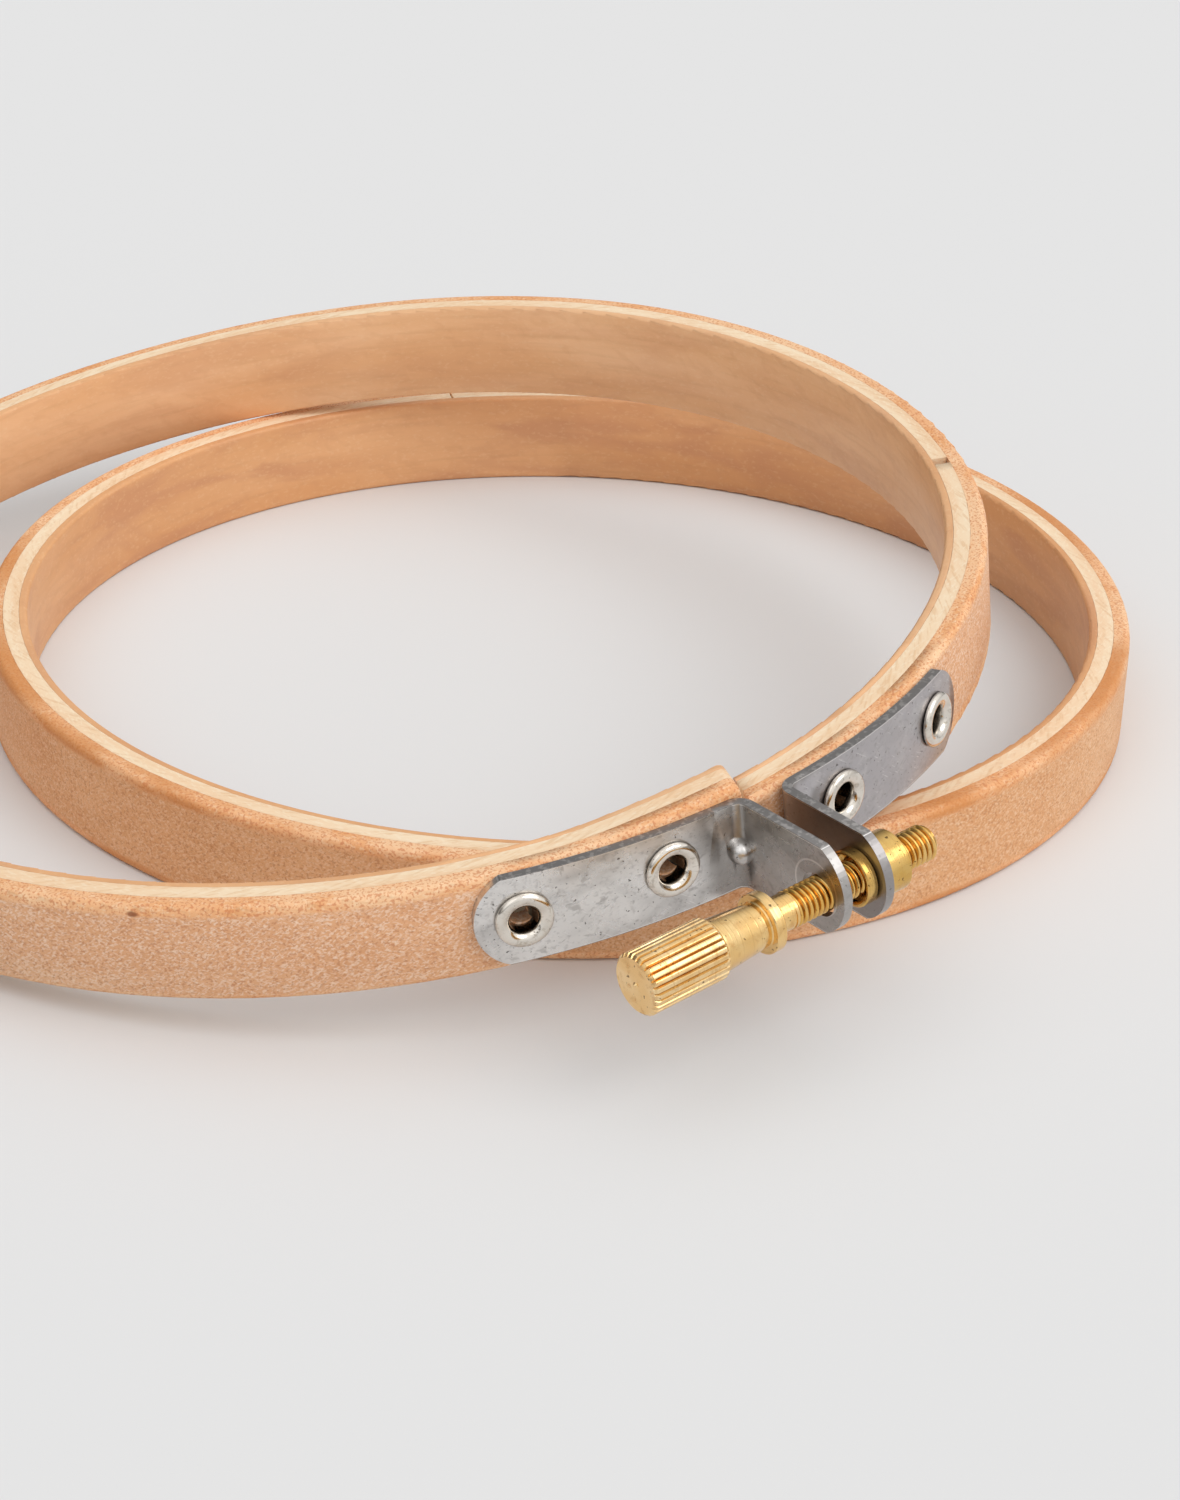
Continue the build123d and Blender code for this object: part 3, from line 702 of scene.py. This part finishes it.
def brass(name, ground, light, low=0.0, high=0.0, first=0.0, last=0.0):
    """Brass, turned and handled. Fine turning marks ring it, it has tiny pits and browner patches, and
    between the first and last stations it is darker in the hollows under the high radius."""
    material, tree, shader = finish_named(name)
    where = local_space(tree, screw_place)
    colour, worn = laid(
        tree,
        where,
        linear(ground),
        [
            ((0.45, 0.45, 0.45), (0, 0, 0), 3.0, 0.0, 0.35, 0.7, 0.7, light),
            ((1.2, 1.2, 1.2), (0, 0, 0), 4.0, 0.6, 0.52, 0.72, 0.5, "#c9975a"),
            ((0.2, 0.2, 6.0), (0, 0, 0), 2.0, 0.0, 0.5, 0.72, 0.35, "#cf9f5f"),
            ((3.2, 3.2, 3.2), (0, 0, 0), 1.0, 0.3, 0.71, 0.75, 0.8, "#4f371c"),
        ],
    )
    if high > low:
        part = add(tree, "ShaderNodeSeparateXYZ", {0: where}).outputs
        level = add(tree, "ShaderNodeCombineXYZ", {"X": part["X"], "Y": part["Y"]}).outputs[0]
        reach = add(tree, "ShaderNodeVectorMath", {0: level}, operation="LENGTH").outputs["Value"]
        hollow = add(
            tree,
            "ShaderNodeMapRange",
            {"Value": reach, "From Min": high, "From Max": low, "To Max": 0.62},
            interpolation_type="SMOOTHSTEP",
        ).outputs[0]
        middle, half_run = (first + last) / 2, (last - first) / 2
        station = add(tree, "ShaderNodeMath", {0: part["Z"], 1: middle}, operation="SUBTRACT").outputs[0]
        away = add(tree, "ShaderNodeMath", {0: station}, operation="ABSOLUTE").outputs[0]
        within = add(tree, "ShaderNodeMath", {0: away, 1: half_run}, operation="LESS_THAN").outputs[0]
        # Darker in the hollows under the high radius, between the first and last stations
        hollow_darkening = add(tree, "ShaderNodeMath", {0: hollow, 1: within}, operation="MULTIPLY").outputs[0]
        darkened_hollows = add(tree, "ShaderNodeMix", {0: hollow_darkening, 6: colour, 7: linear("#96602a")}, data_type="RGBA")
        colour = darkened_hollows.outputs[2]
    tree.links.new(colour, shader.inputs["Base Color"])
    rough = add(tree, "ShaderNodeMapRange", {"Value": worn[1], "To Min": 0.16, "To Max": 0.45}).outputs[0]
    tree.links.new(rough, shader.inputs["Roughness"])
    shader.inputs["Metallic"].default_value = 1.0
    relief = add(tree, "ShaderNodeMath", {0: worn[2], 1: worn[3]}, operation="SUBTRACT").outputs[0]
    bump = add(tree, "ShaderNodeBump", {"Height": relief, "Distance": 0.012 * mm})
    tree.links.new(bump.outputs[0], shader.inputs["Normal"])
    return material


# The head: a round blank pressed into ridges, chamfered at both ends, with the parting pip on its face
ridge_count = 28
ridge_shares = (0.0, 0.0, 0.0, 0.06, 0.55, 1.0, 0.55, 0.06, 0.0, 0.0)
ridge_steps = len(ridge_shares)
head_radius = 2.42
head_chamfer = 0.25
groove_depth = 0.24
head = bmesh.new()
bmesh.ops.create_circle(
    head, cap_ends=True, radius=head_radius - head_chamfer, segments=ridge_count * ridge_steps
)
bmesh.ops.translate(head, verts=head.verts, vec=(0, 0, -21.4))
end_face = head.faces[:]
loop = head.edges[:]
for station, limit in ((-21.15, head_radius), (-20.9, head_radius), (-14.75, head_radius), (-14.5, 2.17)):
    grown = bmesh.ops.extrude_edge_only(head, edges=loop)["geom"]
    loop = [item for item in grown if isinstance(item, bmesh.types.BMEdge)]
    for vertex in (item for item in grown if isinstance(item, bmesh.types.BMVert)):
        share = math.atan2(vertex.co.y, vertex.co.x) / (2 * math.pi) * ridge_count * ridge_steps
        sunk = groove_depth * ridge_shares[round(share) % ridge_steps]
        across = Vector((vertex.co.x, vertex.co.y)).normalized() * min(limit, head_radius - sunk)
        vertex.co = (across.x, across.y, station)
bmesh.ops.contextual_create(head, geom=loop)
bmesh.ops.inset_region(head, faces=end_face, thickness=1.9)
pip = min(end_face, key=lambda face: face.calc_area())
bmesh.ops.inset_region(head, faces=[pip], thickness=0.12, depth=-0.14)
bmesh.ops.recalc_face_normals(head, faces=head.faces)
head_brass = brass("Turned brass, knurled head", "#f2cb8e", "#fbe0b0", 2.15, 2.32, -21.2, -14.7)
head_piece = placed(head, "thumb_screw_head", screw_place, head_brass)
smooth_faces(head_piece, 32)

# The neck, the collar and the plain shank
neck = lathed(
    [
        (0, -14.7),
        (2.12, -14.7),
        (2.15, -14.5),
        (2.08, -14.2),
        (1.77, -10.5),
        (1.75, -10.3),
        (1.83, -10.2),
        (2.27, -10.2),
        (2.35, -10.12),
        (2.35, -9.38),
        (2.27, -9.3),
        (1.5, -9.3),
        (1.4, -9.2),
        (1.4, -7.3),
        (0, -7.3),
    ]
)
neck_brass = brass("Turned brass, neck", "#efc480", "#f8d99f")
neck_piece = placed(neck, "thumb_screw_neck", screw_place, neck_brass)
smooth_faces(neck_piece, 30)

# The thread: one turn's section spun up the axis, then cut to length by a chamfered bar
pitch = 0.5
steps = 40
thread_turns = 31
thread_low = -8.4
crest = 1.45
flank = ((1.16, 0), (1.16, 0.06), (1.42, 0.2), (crest, 0.24), (crest, 0.32), (1.42, 0.36), (1.16, pitch))
thread = bmesh.new()
points = [thread.verts.new((radius, 0, thread_low + rise)) for radius, rise in flank]
edges = [thread.edges.new(pair) for pair in zip(points, points[1:])]
bmesh.ops.spin(
    thread,
    geom=points + edges,
    cent=(0, 0, 0),
    axis=(0, 0, 1),
    dvec=(0, 0, pitch / steps),
    angle=2 * math.pi * thread_turns,
    steps=steps * thread_turns,
)
bmesh.ops.remove_doubles(thread, verts=thread.verts, dist=0.0005)
thread_start = -7.6
thread_tip = 6.3
for cut, way in ((thread_start, -1), (thread_tip, 1)):
    bmesh.ops.bisect_plane(
        thread,
        geom=thread.verts[:] + thread.edges[:] + thread.faces[:],
        dist=0.00001,
        plane_co=(0, 0, cut),
        plane_no=(0, 0, way),
        clear_outer=True,
    )
    rim = [e for e in thread.edges if e.is_boundary and abs(e.verts[0].co.z - cut) < 0.01]
    bmesh.ops.holes_fill(thread, edges=rim)
bmesh.ops.recalc_face_normals(thread, faces=thread.faces)
for vertex in thread.verts:
    # The lead-in: near the tip no crest stands proud of a 45 degree cone
    limit = crest - max(0.0, vertex.co.z - (thread_tip - 0.35))
    across = Vector((vertex.co.x, vertex.co.y))
    if across.length > limit:
        across *= limit / across.length
        vertex.co.x, vertex.co.y = across
hollow_from, hollow_to = thread_start + 0.1, thread_tip - 0.1
thread_brass = brass("Turned brass, thread", "#e9b760", "#f3ce88", 1.18, 1.4, hollow_from, hollow_to)
thread_piece = placed(thread, "thumb_screw_thread", screw_place, thread_brass)
smooth_faces(thread_piece, 40)
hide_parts("thumb_screw")
for piece in (head_piece, neck_piece, thread_piece):
    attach(piece, "thumb_screw")

# Barrel nut, turned from the same brass and riveted in the right ear: its cupped rim stands in the split
# between the ears, and its barrel stands outside.
nut = lathed(
    [
        (1.98, -1.5),
        (2.14, -1.5),
        (2.25, -1.4),
        (2.25, -0.62),
        (2.12, -0.48),
        (1.93, -0.48),
        (1.93, 0.48),
        (2.32, 0.48),
        (2.4, 0.56),
        (2.4, 2.58),
        (2.28, 2.7),
        (1.72, 2.7),
        (1.55, 2.53),
        (1.55, -0.75),
        (1.9, -1.0),
        (1.98, -1.5),
    ]
)
nut_brass = brass("Turned brass, barrel nut", "#d6ab5c", "#e6c37d")
nut_piece = placed(nut, "barrel_nut_turned", screw_place, nut_brass)
smooth_faces(nut_piece, 30)
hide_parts("barrel_nut")
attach(nut_piece, "right_clamp")

# Studio: a pale paper floor under a soft sky that is brighter from the right and above, as by a large lit
# screen, with a low key lamp on the same side.
floor_mesh = bpy.data.meshes.new("studio_floor")
bm = bmesh.new()
bmesh.ops.create_grid(bm, x_segments=1, y_segments=1, size=3.0)
bm.to_mesh(floor_mesh)
bm.free()
floor = bpy.data.objects.new("studio_floor", floor_mesh)
bpy.context.scene.collection.objects.link(floor)
paper, tree, shader = finish_named("Pale studio paper")
shader.inputs["Base Color"].default_value = linear("#dedede")
shader.inputs["Roughness"].default_value = 1.0
shader.inputs["Specular IOR Level"].default_value = 0.0
floor_mesh.materials.append(paper)

world = bpy.data.worlds.new("Studio")
bpy.context.scene.world = world
world.use_nodes = True
tree = world.node_tree
background = tree.nodes["Background"]
background.inputs["Color"].default_value = linear("#ffffff")
sky = add(tree, "ShaderNodeTexCoord").outputs["Generated"]
towards = add(tree, "ShaderNodeVectorMath", {0: sky, 1: (0.42, -0.3, 0.86)}, operation="DOT_PRODUCT")
glow = add(
    tree,
    "ShaderNodeMapRange",
    {"Value": towards.outputs["Value"], "From Min": -0.3, "From Max": 0.95, "To Min": 0.16, "To Max": 1.1},
    interpolation_type="SMOOTHSTEP",
)
tree.links.new(glow.outputs[0], background.inputs["Strength"])
for name, direction, strength, spread in (
    ("Key", (0.75, -0.5, 1.0), 0.75, 45),
    ("Fill", (-0.7, -0.7, 0.8), 0.25, 60),
):
    lamp = bpy.data.lights.new(name, "SUN")
    lamp.energy = strength
    lamp.angle = math.radians(spread)
    rig = bpy.data.objects.new(name, lamp)
    rig.rotation_euler = Vector(direction).to_track_quat("Z", "Y").to_euler()
    bpy.context.scene.collection.objects.link(rig)

# Camera, from the photograph: 27.7 degrees above the table and level but for one degree, 281 mm from the
# point on the table that it looks at. The lens shift is the photograph's own framing.
lens = bpy.data.cameras.new("Camera")
lens.sensor_width = 36
lens.lens = 79.196
lens.shift_x = 0.0369
lens.shift_y = 0.02516
lens.clip_start = 0.01
camera = bpy.data.objects.new("Camera", lens)
elevation = math.radians(27.745)
roll = 0.018144
level_right = Vector((1, 0, 0))
level_up = Vector((0, math.sin(elevation), math.cos(elevation)))
forward = Vector((0, math.cos(elevation), -math.sin(elevation)))
right = level_right * math.cos(roll) + level_up * math.sin(roll)
up = level_up * math.cos(roll) - level_right * math.sin(roll)
camera.matrix_world = Matrix.Translation(Vector((-1.811, -270.592, 130.771)) * mm) @ Matrix(
    (right, up, -forward)
).transposed().to_4x4()
bpy.context.scene.collection.objects.link(camera)
bpy.context.scene.camera = camera
bpy.context.scene.view_settings.view_transform = "Standard"
